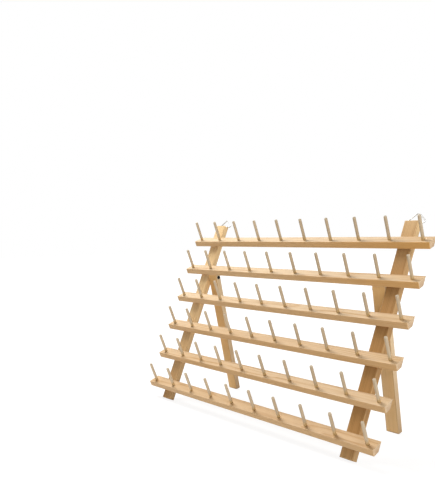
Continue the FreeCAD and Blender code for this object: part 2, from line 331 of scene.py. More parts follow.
def rail_blank():
    shape = new_bench()
    end = shape.faces.new([shape.verts.new((-rail_half, y, z)) for y, z in rail_corners])
    far_end = points_in(bmesh.ops.extrude_face_region(shape, geom=[end])["geom"])
    bmesh.ops.translate(shape, vec=(2 * rail_half, 0, 0), verts=far_end)
    bmesh.ops.recalc_face_normals(shape, faces=shape.faces)
    return shape


print(f"rails: {2 * rail_half / MM:.1f} mm long, backs sawn at {math.degrees(slant):.1f} degrees")

# %% Make the six rails
HAIR = 0.1 * MM
UNDER_RAIL = Vector((0, -1, 0))
# From the top rail down: how deep the wood is, and how much painted warm shade its front gets,
# evenly spaced from left to right
RAIL_TONES = (
    ((0.0, -0.15, 0.35), (0.4, 0.5, 1.0)),
    ((-0.15, -0.2, 0.25), (0.38, 0.38, 0.85)),
    ((-0.05, 0.3), (0.38, 0.42)),
    ((0.3, 0.45), (0.38, 0.46)),
    ((0.4, 0.35), (0.38, 0.38)),
    ((0.6, 0.75), (0.2, 0.2)),
)


def front_edges(blank):
    """The two long edges of a rail's front."""
    return [
        edge for edge in blank.edges
        if edge.calc_length() > rail_half
        and all(vert.co.z > RAIL_FRONT - HAIR for vert in edge.verts)
    ]


rails = []
for row, (depths, front_shade_warmths) in enumerate(RAIL_TONES):
    blank = rail_blank()
    dress_strip(blank, row + 1, depths, UNDER_RAIL, front_shade_warmths, round_edges=front_edges(blank))
    place = seat(row_middles[row], ACROSS, peg_up, rail_front)
    rails.append(carry(f"rail_{row + 1}", "planed", blank, place, "rack"))
print(len(rails), "rails,", len(rails[0].data.polygons), "faces in the top one")

# %% [markdown]
# ## Pegs
# A peg is a turned dowel with a softly rounded tip, standing on a thinner tenon that is glued
# into the rail. A stretched cylinder would have a hard rim and no neck. So half of the outline is
# drawn and spun round the peg's axis, as on a lathe. The ten pegs of a row are one piece, and
# each has its own board number and tone, so that no two pegs are alike.

# %% Draw half a peg
PEG_REACH = 28.4 * MM
TENON_RADIUS = 1.6 * MM
TENON_SHOWN = 0.6 * MM
# Along the peg and out from its axis, with the wear and the sawn end at each turn of the outline
peg_outline = [
    (-TENON_SHOWN, 0, 0, 0),
    (-TENON_SHOWN, TENON_RADIUS, 0, 0),
    (PEG_NECK, TENON_RADIUS, 0, 0),
    (PEG_NECK, peg_radius - 0.12 * MM, 1, 0),
    (PEG_NECK + 0.14 * MM, peg_radius, 1, 0),
    (2.5 * MM, peg_radius, 0, 0),
    (PEG_REACH - 2.6 * MM, peg_radius, 0, 0),
    (PEG_REACH - 1.15 * MM, peg_radius * 0.985, 0.4, 0),
    (PEG_REACH - 0.62 * MM, peg_radius * 0.91, 1, 0.2),
    (PEG_REACH - 0.24 * MM, peg_radius * 0.74, 1, 0.8),
    (PEG_REACH - 0.05 * MM, peg_radius * 0.46, 0.3, 1),
    (PEG_REACH, 0, 0, 1),
]
print(f"pegs stand {PEG_REACH / MM:.1f} mm tall and {2 * peg_radius / MM:.1f} mm thick")

# %% Turn one peg
PEG_SIDES = 16


def turn_peg(shape, across, board, depth):
    """Adds one peg to a row, with its notes."""
    grain = shape.verts.layers.float_vector["grain"]
    number, deep, edge, sawn = (shape.verts.layers.float[note] for note in NOTES[:4])
    before = set(shape.verts)
    line = []
    for along, out, worn, cut in peg_outline:
        vert = shape.verts.new((along, out, across))
        vert[number], vert[deep], vert[edge], vert[sawn] = board, depth, worn, cut
        line.append(vert)
    lines = [shape.edges.new(pair) for pair in zip(line, line[1:])]
    bmesh.ops.spin(
        shape, geom=line + lines, cent=(0, 0, across), axis=(1, 0, 0),
        angle=math.tau, steps=PEG_SIDES, use_merge=True,
    )
    for vert in shape.verts:
        if vert not in before:
            vert[grain] = vert.co


print("a peg is turned in", PEG_SIDES, "steps")

# %% Turn the sixty pegs
FIRST_PEG_BOARD = 20
PEG_VARIETY = 0.02
# From left to right, how deep the wood of each peg is
PEG_DEPTHS = (0.0, -0.1, 0.0, 0.15, 0.35, 0.65, 1.0, 0.95, 1.0, 0.4)


def peg_depth(row, index):
    """The tone of a peg, with a fixed shuffle that sets it apart from those above and below."""
    return PEG_DEPTHS[index] + (3 * row + 7 * index) % 10 * PEG_VARIETY


peg_rows = []
for row in range(ROWS):
    shape = new_bench()
    for index in range(PEGS_PER_ROW):
        board = FIRST_PEG_BOARD + row * PEGS_PER_ROW + index
        turn_peg(shape, index * peg_pitch - row_span / 2, board, peg_depth(row, index))
    place = seat(row_middles[row], peg_up, rail_front, ACROSS)
    peg_rows.append(carry(f"pegs_row_{row + 1}", "turned", shape, place, "rack"))
print(len(peg_rows), "rows of pegs,", len(peg_rows[0].data.polygons), "faces in the top one")

# %% [markdown]
# ## Front legs
# The front legs are plain square-cut strips of a deeper-toned board, with sides a little paler
# as painted light. The end could be drawn and pulled as for a rail. A stretched cube is the same
# shape in
# fewer lines, so each leg starts from one and gets its edges eased.

# %% Stretch a cube into a strip
LEG_THICK = 8.0 * MM
LEG_ABOVE = 26.5 * MM
LEG_FOOT = 21.5 * MM
leg_below = (ROWS - 1) * row_pitch + LEG_FOOT
leg_back = -LEG_SETBACK - LEG_THICK


def box_strip(low, high):
    """A square-sawn strip between two corners."""
    shape = new_bench()
    bmesh.ops.create_cube(shape, size=1)
    low, high = Vector(low), Vector(high)
    bmesh.ops.scale(shape, vec=high - low, verts=shape.verts)
    bmesh.ops.translate(shape, vec=(low + high) / 2, verts=shape.verts)
    return shape


print("front legs are", round((LEG_ABOVE + leg_below) / MM, 1), "mm long")

# %% Make the front legs
FIRST_LEG_BOARD = 8
# Painted light on the sides of the front legs.
LEG_PAINTED_SIDE_LIGHT = -0.25
# From the foot up, how deep the wood of each leg is. The left leg's paling towards its top and
# the right leg's paler foot are painted light over the board's own tone.
LEG_TONES_AND_PAINTED_LIGHT = {
    "left": (0.75, 0.55, 0.35, 0.1, -0.15, -0.3),
    "right": (0.75, 1.1, 1.05, 0.95, 0.8, 0.45),
}
SIDES = {"left": -1, "right": 1}
UNDER_FOOT = Vector((-1, 0, 0))

front_legs = []
for board, side in enumerate(SIDES, start=FIRST_LEG_BOARD):
    node = f"{side}_front_leg"
    low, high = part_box(node)
    blank = box_strip((-leg_below, leg_back, low.x), (LEG_ABOVE, -LEG_SETBACK, high.x))
    dress_strip(blank, board, LEG_TONES_AND_PAINTED_LIGHT[side], UNDER_FOOT, painted_side_light=LEG_PAINTED_SIDE_LIGHT)
    place = seat(row_middles[0], leg_up, leg_front, ACROSS)
    front_legs.append(carry(node, "planed", blank, place, "rack"))
print(len(front_legs), "front legs,", len(front_legs[0].data.polygons), "faces in the left one")

# %% [markdown]
# ## Back legs
# A back leg turns on a screw beside the front leg. Its top is sawn to seat under the second rail
# when it stands open, and its foot reaches the floor. A boolean could drill the screw's hole, but
# it leaves slivers. So the side view, with the hole in it, is filled and pulled across. The slope
# of the top comes from the underside of the rail that it meets.

# %% Draw the side of a back leg
FOLD_CLEAR = 0.3 * MM
STOP_GAP = 0.3 * MM
TOP_EASE = 1.4 * MM
prop_half = LEG_THICK / 2 - FOLD_CLEAR


def prop_outline(pivot, prop_up, prop_front):
    """The back leg's side view, measured from its screw along the leg and out of its front."""
    stop = (row_middles[1] - peg_up * (RAIL_THICK + STOP_GAP) - pivot).dot(peg_up)

    def top_at(out):
        return (stop - out * prop_front.dot(peg_up)) / prop_up.dot(peg_up)

    foot = -(pivot.z + prop_half * prop_front.z) / prop_up.z
    return [
        (foot, -prop_half),
        (foot, prop_half),
        (top_at(prop_half) - TOP_EASE, prop_half),
        (top_at(prop_half - TOP_EASE), prop_half - TOP_EASE),
        (top_at(-prop_half), -prop_half),
    ]


print(f"back legs are {2 * prop_half / MM:.1f} mm thick")

# %% Fill the side round the hole and pull it across
PIVOT_RADIUS = 1.6 * MM
PIVOT_FIT = 0.08 * MM
HOLE_SIDES = 24
hole_radius = PIVOT_RADIUS + PIVOT_FIT


def edges_of(verts):
    """The edges of some points, each of them once."""
    return list(dict.fromkeys(edge for vert in verts for edge in vert.link_edges))


def prop_blank(corners, low_x, high_x):
    shape = new_bench()
    ring = [shape.verts.new((along, out, low_x)) for along, out in corners]
    outline = [shape.edges.new(pair) for pair in zip(ring, ring[1:] + ring[:1])]
    hole = bmesh.ops.create_circle(shape, segments=HOLE_SIDES, radius=hole_radius)["verts"]
    bmesh.ops.translate(shape, vec=(0, 0, low_x), verts=hole)
    filled = bmesh.ops.triangle_fill(shape, edges=outline + edges_of(hole), use_beauty=True)["geom"]
    faces = [item for item in filled if isinstance(item, bmesh.types.BMFace)]
    far_side = points_in(bmesh.ops.extrude_face_region(shape, geom=faces)["geom"])
    bmesh.ops.translate(shape, vec=(0, 0, high_x - low_x), verts=far_side)
    bmesh.ops.recalc_face_normals(shape, faces=shape.faces)
    return shape


print(f"the hole is {2 * hole_radius / MM:.2f} mm wide")

# %% Make the back legs
FIRST_PROP_BOARD = 11
PROP_EASE = 0.35 * MM
# Painted light on the sides of the back legs, which turns them nearly cream.
PROP_PAINTED_SIDE_LIGHT = -0.9
PROP_DEPTHS = {"left": (0.75, 0.85), "right": (0.5, 0.75)}
joints = {joint["name"]: joint for joint in frame["joints"]}

back_legs = []
for board, side in enumerate(SIDES, start=FIRST_PROP_BOARD):
    node = f"{side}_back_leg"
    joint = joints[f"{side}_back_leg_fold"]
    opened = Matrix.Rotation(math.radians(joint["range_deg"][1]), 3, "X")
    prop_up, prop_front = opened @ leg_up, opened @ leg_front
    pivot = Vector((0, *joint["pos_m"][1:]))
    low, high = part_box(node)
    blank = prop_blank(prop_outline(pivot, prop_up, prop_front), low.x, high.x)
    dress_strip(
        blank, board, PROP_DEPTHS[side], UNDER_FOOT,
        painted_side_light=PROP_PAINTED_SIDE_LIGHT, width=PROP_EASE, holed=True,
    )
    place = seat(pivot, prop_up, prop_front, ACROSS)
    back_legs.append(carry(node, "planed", blank, place, f"{side}_prop"))
print("back legs open by", joint["range_deg"][1], "degrees")

# %% [markdown]
# ## Screws
# Each back leg turns on a dark round-headed screw, and a bright one holds each hanger. A head is
# spun from half its outline. The cross for the driver could be a dark patch, but up close a real
# one has walls. So the dome is sliced along the cross's edges, the faces between the slices are
# copied downwards, and the ones that are left as a lid are taken off. The shank is a closed shape
# that reaches into the head.

# %% Cut a cross into a head
CROSS_TAPER = 0.75
FACING_UP = 0.3


def cut_cross(shape, half, arm, deep):
    """Sinks a cross into the top of a head."""
    for axis in (Vector((1, 0, 0)), Vector((0, 1, 0))):
        for where in (-arm, -half, half, arm):
            everything = shape.verts[:] + shape.edges[:] + shape.faces[:]
            bmesh.ops.bisect_plane(shape, geom=everything, plane_co=axis * where, plane_no=axis)
    bmesh.ops.recalc_face_normals(shape, faces=shape.faces)

    def in_cross(face):
        x, y = map(abs, face.calc_center_median().xy)
        return face.normal.z > FACING_UP and ((x < half and y < arm) or (y < half and x < arm))

    lid = [face for face in shape.faces if in_cross(face)]
    sunk = points_in(bmesh.ops.extrude_face_region(shape, geom=lid)["geom"])
    bmesh.ops.translate(shape, vec=(0, 0, -deep), verts=sunk)
    bmesh.ops.scale(shape, vec=(CROSS_TAPER, CROSS_TAPER, 1), verts=sunk)
    bmesh.ops.delete(shape, geom=lid, context="FACES")


print("the cross narrows to", CROSS_TAPER, "of its width at the bottom")

# %% Turn the head of a screw
HEAD_SIDES = 32
# Shares of the head's height and radius
HEAD_RIM, CROSS_DEEP = 0.42, 0.5
CROSS_HALF, CROSS_REACH = 0.11, 0.56
DOME_STEPS = 6


def spin_round(shape, points, sides, spot=(0, 0)):
    """Spins an outline of (out, up) points round an upright axis at the spot."""
    line = [shape.verts.new((spot[0] + out, spot[1], up)) for out, up in points]
    lines = [shape.edges.new(pair) for pair in zip(line, line[1:])]
    bmesh.ops.spin(
        shape, geom=line + lines, cent=(*spot, 0), axis=(0, 0, 1),
        angle=math.tau, steps=sides, use_merge=True,
    )
    bmesh.ops.remove_doubles(shape, verts=shape.verts, dist=SAME_SPOT)


def screw_head(radius, tall):
    """A head with its underside at zero."""
    shape = bmesh.new()
    rim = tall * HEAD_RIM
    turns = [math.pi / 2 * step / DOME_STEPS for step in range(DOME_STEPS + 1)]
    dome = [(radius * math.cos(turn), rim + (tall - rim) * math.sin(turn)) for turn in turns]
    spin_round(shape, [(0, 0), (radius, 0), *dome], HEAD_SIDES)
    cut_cross(shape, radius * CROSS_HALF, radius * CROSS_REACH, tall * CROSS_DEEP)
    return shape


print(f"a head has {HEAD_SIDES} sides, and its cross is sunk by {CROSS_DEEP} of its height")

# %% Turn the pivot screws
SHANK_SIDES = 16
SHANK_POINT = 1.2
SHANK_HIDDEN = 0.2
PIVOT_HEAD_RADIUS = 2.4 * MM
PIVOT_HEAD_TALL = 1.5 * MM
PIVOT_HEAD_ROOM = 2.0 * MM


def screw(head_radius, head_tall, radius, long):
    """A screw with its head's underside at zero and its head pointing up."""
    shape = screw_head(head_radius, head_tall)
    point, hidden = radius * SHANK_POINT, head_tall * SHANK_HIDDEN
    shank = [(0, hidden), (radius, hidden), (radius, point - long), (0, -long)]
    spin_round(shape, shank, SHANK_SIDES)
    return shape


pivot_screws = []
for side, sign in SIDES.items():
    node = f"{side}_pivot_screw"
    low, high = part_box(node)
    head_end, tip = (high.x, low.x) if sign < 0 else (low.x, high.x)
    long = abs(head_end - tip) - PIVOT_HEAD_ROOM
    shape = screw(PIVOT_HEAD_RADIUS, PIVOT_HEAD_TALL, PIVOT_RADIUS, long)
    inward = -sign * ACROSS
    under_head = Vector(joints[f"{side}_back_leg_fold"]["pos_m"])
    under_head.x = head_end - inward.x * PIVOT_HEAD_ROOM
    place = seat(under_head, leg_up, inward.cross(leg_up), inward)
    pivot_screws.append(carry(node, "turned", shape, place, "rack"))
print("pivot screws have", len(pivot_screws[0].data.polygons), "faces")

# %% [markdown]
# ## Nails
# Six nails hold each front leg to the rails from behind. Only their heads show, driven flush and
# very slightly domed. Flat discs would catch no light at their rims, so a nail is spun from its
# outline, head and shank in one. The six nails of a leg are one piece.

# %% Make the nails
NAIL_BELOW = 1.0 * MM
NAIL_HEAD_RADIUS = 1.6 * MM
NAIL_HEAD_TALL = 0.8 * MM
NAIL_RADIUS = 0.8 * MM
NAIL_LONG = 13.5 * MM
NAIL_DOME = 0.14 * MM
NAIL_SIDES = 16
# Out from the nail's axis and up along it, with the wood's face at zero
nail_outline = [
    (0, -NAIL_LONG),
    (NAIL_RADIUS, 2 * NAIL_RADIUS - NAIL_LONG),
    (NAIL_RADIUS, -NAIL_HEAD_TALL),
    (NAIL_HEAD_RADIUS, -NAIL_HEAD_TALL),
    (NAIL_HEAD_RADIUS, 0.02 * MM),
    (NAIL_HEAD_RADIUS * 0.82, NAIL_DOME * 0.7),
    (NAIL_HEAD_RADIUS * 0.4, NAIL_DOME),
    (0, NAIL_DOME),
]

nail_rows = []
for side in SIDES:
    node = f"{side}_rail_nails"
    low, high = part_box(node)
    shape = bmesh.new()
    for row in range(ROWS):
        spin_round(shape, nail_outline, NAIL_SIDES, spot=(0, row * row_pitch))
    top_nail = row_middles[0] - leg_up * NAIL_BELOW + leg_front * leg_back
    top_nail.x = (low.x + high.x) / 2
    place = seat(top_nail, ACROSS, -leg_up, -leg_front)
    nail_rows.append(carry(node, "driven", shape, place, "rack"))
print(len(nail_rows), "rows of nails")

# %% [markdown]
# ## Hanger straps
# Behind each leg top a small strap holds a wire triangle, by which the rack can hang on a wall.
# The strap is bent from sheet. A block joined to a tube would show a seam, so it is made as the
# real one is: an edge is pulled up the leg, spun round the wire, and the sheet then gets its
# thickness.

# %% Bend the straps
WIRE_RADIUS = 0.8 * MM
WIRE_FIT = 0.08 * MM
STRAP_WIDE = 8.0 * MM
STRAP_LONG = 17.0 * MM
STRAP_THICK = 0.8 * MM
STRAP_CORNER = 2.2 * MM
CORNER_STEPS = 5
STRAP_CURL = math.radians(292)
CURL_STEPS = 16
loop_radius = WIRE_RADIUS + WIRE_FIT + STRAP_THICK


def strap_sheet():
    """A strap without thickness, its flat on the XY plane and its loop curling down behind it."""
    shape = bmesh.new()
    ends = [shape.verts.new((x, -STRAP_LONG, 0)) for x in (-STRAP_WIDE / 2, STRAP_WIDE / 2)]
    top = points_in(bmesh.ops.extrude_edge_only(shape, edges=[shape.edges.new(ends)])["geom"])
    bmesh.ops.translate(shape, vec=(0, STRAP_LONG, 0), verts=top)
    bmesh.ops.bevel(
        shape, geom=ends, offset=STRAP_CORNER, offset_type="OFFSET", affect="VERTICES",
        segments=CORNER_STEPS, profile=0.5, material=-1,
    )
    top_verts = [vert for vert in shape.verts if vert.co.y > -HAIR]
    top_edges = [edge for edge in shape.edges if all(vert in top_verts for vert in edge.verts)]
    bmesh.ops.spin(
        shape, geom=top_verts + top_edges, cent=(0, 0, -loop_radius), axis=(1, 0, 0),
        angle=-STRAP_CURL, steps=CURL_STEPS,
    )
    bmesh.ops.remove_doubles(shape, verts=shape.verts, dist=SAME_SPOT)
    bmesh.ops.recalc_face_normals(shape, faces=shape.faces)
    return shape


print(f"the strap's loop is {2 * loop_radius / MM:.2f} mm across")

# %% Thicken the straps and set them behind the legs
RING_RISE = 1.5 * MM
STRAP_EASE = 0.12 * MM
STRAP_EDGE_ANGLE = 60
CLEAR_OF_LOOP = 5 * MM


def leg_top(side):
    """The spot on a front leg's back beside the middle of its hanging wire."""
    spot = row_middles[0] + leg_up * (LEG_ABOVE + RING_RISE) + leg_front * leg_back
    spot.x = joints[f"{side}_ring_swing"]["pos_m"][0]
    return spot


straps = []
for side in SIDES:
    shape = strap_sheet()
    shape.normal_update()
    flat = next(face for face in shape.faces if face.calc_center_median().y < -CLEAR_OF_LOOP)
    thickness = math.copysign(STRAP_THICK, flat.normal.z)
    bmesh.ops.solidify(shape, geom=shape.faces[:], thickness=thickness)
    shape.normal_update()
    ease(shape, sharp_edges(shape, STRAP_EDGE_ANGLE), STRAP_EASE, EASE_STEPS)
    place = seat(leg_top(side), ACROSS, leg_up, leg_front)
    straps.append(carry(f"{side}_hanger_strap", "bent", shape, place, "rack"))
    behind = [(leg_top(side) - vert.co).dot(leg_front) for vert in straps[-1].data.vertices]
    print(f"{side} strap: {min(behind) / MM:.2f} to {max(behind) / MM:.2f} mm behind the leg")

# %% [markdown]
# ## Hanging rings
# The triangle is a closed loop of round wire with soft corners. A curve with a round bevel could
# stand for it. Here it is bent like wire on a jig: a round section is pulled along each side and
# spun round each corner, so that every corner is a true bend.

# %% Pull and bend a ring
RING_WIDE = 21.0 * MM
RING_TALL = 11.5 * MM
RING_BEND = 2.0 * MM
WIRE_SIDES = 12
BEND_STEP = 0.3
LEAST_BENDS = 4


def pull(shape, loop, vec):
    """Pulls a section along and gives the section at the far end."""
    edges = [item for item in loop if isinstance(item, bmesh.types.BMEdge)]
    pulled = bmesh.ops.extrude_edge_only(shape, edges=edges)["geom"]
    bmesh.ops.translate(shape, vec=vec, verts=points_in(pulled))
    return [item for item in pulled if not isinstance(item, bmesh.types.BMFace)]


def hanging_ring():
    """A wire triangle in the XY plane, with the middle of its base at the origin."""
    shape = bmesh.new()
    half = RING_WIDE / 2 - RING_BEND
    spots = ((half, RING_BEND, 0), (0, RING_TALL - RING_BEND, 0), (-half, RING_BEND, 0))
    centres = [Vector(spot) for spot in spots]
    section = bmesh.ops.create_circle(shape, segments=WIRE_SIDES, radius=WIRE_RADIUS)["verts"]
    bmesh.ops.rotate(shape, verts=section, matrix=Matrix.Rotation(math.pi / 2, 3, "Y"))
    bmesh.ops.translate(shape, vec=(-half, 0, 0), verts=section)
    loop = section + edges_of(section)
    heading = 0.0
    for index, centre in enumerate(centres):
        loop = pull(shape, loop, centre - centres[index - 1])
        following = centres[(index + 1) % len(centres)] - centre
        turn = (math.atan2(following.y, following.x) - heading) % math.tau
        loop = bmesh.ops.spin(
            shape, geom=loop, cent=centre, axis=(0, 0, 1), angle=turn,
            steps=max(LEAST_BENDS, round(turn / BEND_STEP)),
        )["geom_last"]
        heading += turn
    return shape


print(f"along its middle the wire spans {RING_WIDE / MM:.1f} by {RING_TALL / MM:.1f} mm")

# %% Hang the rings in the straps
rings = []
for side in SIDES:
    node = f"{side}_hanger_ring"
    place = seat(Vector(joints[f"{side}_ring_swing"]["pos_m"]), ACROSS, leg_up, leg_front)
    rings.append(carry(node, "bent", hanging_ring(), place, f"{side}_ring"))

# %% [markdown]
# ## Hanger screws
# One small screw holds each strap to its leg. It could be a plain button at this size, but the
# screw that is already written takes other measures, so it is turned again.

# %% Turn the hanger screws
HANGER_SCREW_DROP = 10.5 * MM
HANGER_HEAD_RADIUS = 2.5 * MM
HANGER_HEAD_TALL = 1.4 * MM
HANGER_SHANK_RADIUS = 1.3 * MM
HANGER_SHANK_LONG = 6.8 * MM

hanger_screws = []
for side in SIDES:
    node = f"{side}_hanger_screw"
    shape = screw(HANGER_HEAD_RADIUS, HANGER_HEAD_TALL, HANGER_SHANK_RADIUS, HANGER_SHANK_LONG)
    under_head = leg_top(side) - leg_up * HANGER_SCREW_DROP - leg_front * STRAP_THICK
    place = seat(under_head, ACROSS, -leg_up, -leg_front)
    hanger_screws.append(carry(node, "turned", shape, place, "rack"))
print(len(hanger_screws), "hanger screws")

# %% [markdown]
# ## Finishes as sums
# A finish is a small web of nodes. Written node by node it hides what it does, so a small class
# wraps a socket and lets Python's own sums add the Math nodes. Every other node comes from one
# method, which sets the node's choices first and then feeds its sockets.

# %% A socket that does sums
class Amount:
    """One value of a finish. Sums with it add Math nodes."""

    def __init__(self, finish, socket):
        self.finish = finish
        self.socket = socket

    def sum(self, operation, first, second):
        return self.finish.node("ShaderNodeMath", {"operation": operation}, {0: first, 1: second})

    def __add__(self, other):
        return self.sum("ADD", self, other)

    def __sub__(self, other):
        return self.sum("SUBTRACT", self, other)

    def __rsub__(self, other):
        return self.sum("SUBTRACT", other, self)

    def __mul__(self, other):
        return self.sum("MULTIPLY", self, other)

    def __truediv__(self, other):
        return self.sum("DIVIDE", self, other)

    def __rtruediv__(self, other):
        return self.sum("DIVIDE", other, self)

    def __pow__(self, other):
        return self.sum("POWER", self, other)

    def __rpow__(self, other):
        return self.sum("POWER", other, self)

    __radd__ = __add__
    __rmul__ = __mul__


print("sums with an", Amount.__name__, "add Math nodes")

# %% A finish that adds nodes
class Finish:
    """One material, made of nodes round its Principled shader."""

    def __init__(self, name):
        self.material = bpy.data.materials.new(name)
        self.material.use_nodes = True
        self.tree = self.material.node_tree
        self.shader = self.tree.nodes["Principled BSDF"]

    def feed(self, socket, value):
        if isinstance(value, Amount):
            self.tree.links.new(value.socket, socket)
        else:
            socket.default_value = value

    def node(self, kind, settings=None, sockets=None, output=0):
        made = self.tree.nodes.new(kind)
        for setting, choice in (settings or {}).items():
            if setting == "stops":
                ramp = made.color_ramp.elements
                while len(ramp) < len(choice):
                    ramp.new(0.5)
                for stop, (spot, colour) in zip(ramp, choice):
                    stop.position = spot
                    stop.color = colour
            else:
                setattr(made, setting, choice)
        for socket, value in (sockets or {}).items():
            self.feed(made.inputs[socket], value)
        return Amount(self, made.outputs[output])

    def surface(self, **sockets):
        for socket, value in sockets.items():
            self.feed(self.shader.inputs[socket.replace("_", " ")], value)
        return self.material


print("a", Finish.__name__, "makes one material")

# %% Read notes and places
def note(finish, name):
    """A note that was written on the bench."""
    output = "Vector" if name == "grain" else "Fac"
    return finish.node("ShaderNodeAttribute", {"attribute_name": name}, output=output)


def axis_of(finish, place, axis):
    return finish.node("ShaderNodeSeparateXYZ", {}, {0: place}, output=axis)


def fraction(finish, value):
    return finish.node("ShaderNodeMath", {"operation": "FRACT"}, {0: value})


print("a finish can read these notes: grain,", ", ".join(NOTES))

# %% Mix, fade and roughen
NOISE_ROUGHNESS = 0.55


def mix(finish, mask, first, second):
    """One colour that turns into another as the mask goes from 0 to 1."""
    sockets = {0: mask, 6: first, 7: second}
    return finish.node("ShaderNodeMix", {"data_type": "RGBA"}, sockets, output=2)


def fade(finish, value, start, stop):
    """0 below the start, 1 above the stop, and smooth between them. The two may be swapped."""
    return finish.node(
        "ShaderNodeMapRange", {"interpolation_type": "SMOOTHSTEP"},
        {"Value": value, "From Min": start, "From Max": stop, "To Min": 0.0, "To Max": 1.0},
    )


def stretched_noise(finish, place, waves, detail=3.0):
    """Noise with so many waves to the metre along the grain, and so many across it."""
    along, across = waves
    scale = (along, across, across)
    spot = finish.node("ShaderNodeVectorMath", {"operation": "MULTIPLY"}, {0: place, 1: scale})
    return finish.node(
        "ShaderNodeTexNoise", {},
        {"Vector": spot, "Scale": 1.0, "Detail": detail, "Roughness": NOISE_ROUGHNESS},
    )


def bumped(finish, height, depth, strength):
    sockets = {"Height": height, "Distance": depth, "Strength": strength}
    return finish.node("ShaderNodeBump", {}, sockets)


print("noise has a roughness of", NOISE_ROUGHNESS)

# %% [markdown]
# ## Growing the wood
# The strips are plain-sawn softwood: pale early wood, darker late wood, fine fibres along the
# strip and short dark flecks. A stripe pattern would look painted on. Here the growth rings are
# worked out inside the board, as distances from a pith line beside the strip, so the same rings
# run along the faces and curve across the sawn ends. Noise makes some rings wider and bolder than
# others, as good years do.

# %% Give each board its own wood
BOARDS_APART = (7.0, 5.0, 3.0)


def board_chances(finish):
    """Three numbers from 0 to 1 that belong to a board."""
    board = note(finish, "board")
    one_number = {"noise_dimensions": "1D"}
    white = finish.node("ShaderNodeTexWhiteNoise", one_number, {"W": board}, output="Color")
    return [
        finish.node("ShaderNodeSeparateColor", {}, {0: white}, output=part) for part in range(3)
    ]


def own_spot(finish, place, chances):
    """A place that is moved by up to some metres, so that no two boards meet the same noise."""
    moves = [chance * apart for chance, apart in zip(chances, BOARDS_APART)]
    shift = finish.node("ShaderNodeCombineXYZ", {}, dict(enumerate(moves)))
    return finish.node("ShaderNodeVectorMath", {"operation": "ADD"}, {0: place, 1: shift})


print("boards are moved by up to", max(BOARDS_APART), "m in the noise")

# %% Grow the rings
PITH_NEAREST = 18 * MM
PITH_FURTHER = 30 * MM
PITH_ASIDE = 60 * MM
# Waves to the metre along the grain and across it, and how far they move a ring
WANDER_WAVES, WANDER = (5.0, 22.0), 12 * MM
UNEVEN_WAVES, UNEVEN = (3.0, 170.0), 2.6 * MM
BOLD_WAVES = (2.5, 260.0)
BOLD_RANGE = (0.32, 0.68)
BOLD_LEAST, BOLD_MORE = 0.4, 1.2
BROAD = 2.0
# Across one ring, how much of the wood is late
RING_STOPS = ((0.0, 0.05), (0.55, 0.2), (0.86, 1.0), (1.0, 0.1))


def late_wood(finish, place, own, chances, ring_width):
    """How late the wood is, from how far it is from the pith."""
    out = axis_of(finish, place, 1) + PITH_NEAREST + chances[0] * PITH_FURTHER
    across = axis_of(finish, place, 2) + chances[1] * PITH_ASIDE - PITH_ASIDE / 2
    wander = stretched_noise(finish, own, WANDER_WAVES, BROAD)
    uneven = stretched_noise(finish, own, UNEVEN_WAVES, BROAD)
    from_pith = (out * out + across * across) ** 0.5 + wander * WANDER + uneven * UNEVEN
    in_ring = fraction(finish, from_pith / ring_width)
    stops = [(spot, (grey, grey, grey, 1)) for spot, grey in RING_STOPS]
    late = finish.node("ShaderNodeValToRGB", {"stops": stops}, {"Fac": in_ring})
    bold = fade(finish, stretched_noise(finish, own, BOLD_WAVES, BROAD), *BOLD_RANGE)
    return late * (bold * BOLD_MORE + BOLD_LEAST)


print("late wood is strongest at", max(RING_STOPS, key=lambda stop: stop[1])[0], "of a ring")

# %% Gather what the wood finishes share
DRIFT_WAVES = (7.0, 45.0)
FIBRE_WAVES = (22.0, 900.0)
FLECK_WAVES = (110.0, 2100.0)
FLECK_RANGE = (0.66, 0.78)
FINE = 1.0


def grow_wood(finish, ring_width, ring_strength):
    """The place, the masks and the notes of a piece of wood."""
    place = note(finish, "grain")
    chances = board_chances(finish)
    own = own_spot(finish, place, chances)
    return {
        "place": place,
        "late": late_wood(finish, place, own, chances, ring_width) * ring_strength,
        "drift": stretched_noise(finish, own, DRIFT_WAVES, BROAD),
        "fibre": stretched_noise(finish, own, FIBRE_WAVES),
        "fleck": fade(finish, stretched_noise(finish, own, FLECK_WAVES, FINE), *FLECK_RANGE),
        **{name: note(finish, name) for name in NOTES[1:]},
    }


print(f"fibres are about {1 / FIBRE_WAVES[1] / MM:.1f} mm apart")

# %% [markdown]
# ## Pale wood
# The strips are three boards of one kind of wood under a thin satin varnish: creamy rails, deeper
# front legs and golden back legs. One finish could serve all of them, but real boards never match
# so well. So one recipe is mixed three times, each time with its own tones. The varnish is thin
# and shines only a little. The edges are paled, partly as wear and partly as painted highlight,
# and the undersides are darkened as painted shade.

# %% Colour the wood
TONE_RANGE = (0.1, 1.25)
DRIFT_DEEPENS = 0.5
END_PALES = 0.5
FIBRE_RANGE = (0.45, 0.8)
FIBRE_SHOWS = 0.4
FLECK_SHOWS = 0.35
END_RINGS_SHOW = 0.35
EDGE_WEAR_AND_HIGHLIGHT_SHOWS = 0.25
UNDERSIDE_SHADE_SHOWS = 0.65


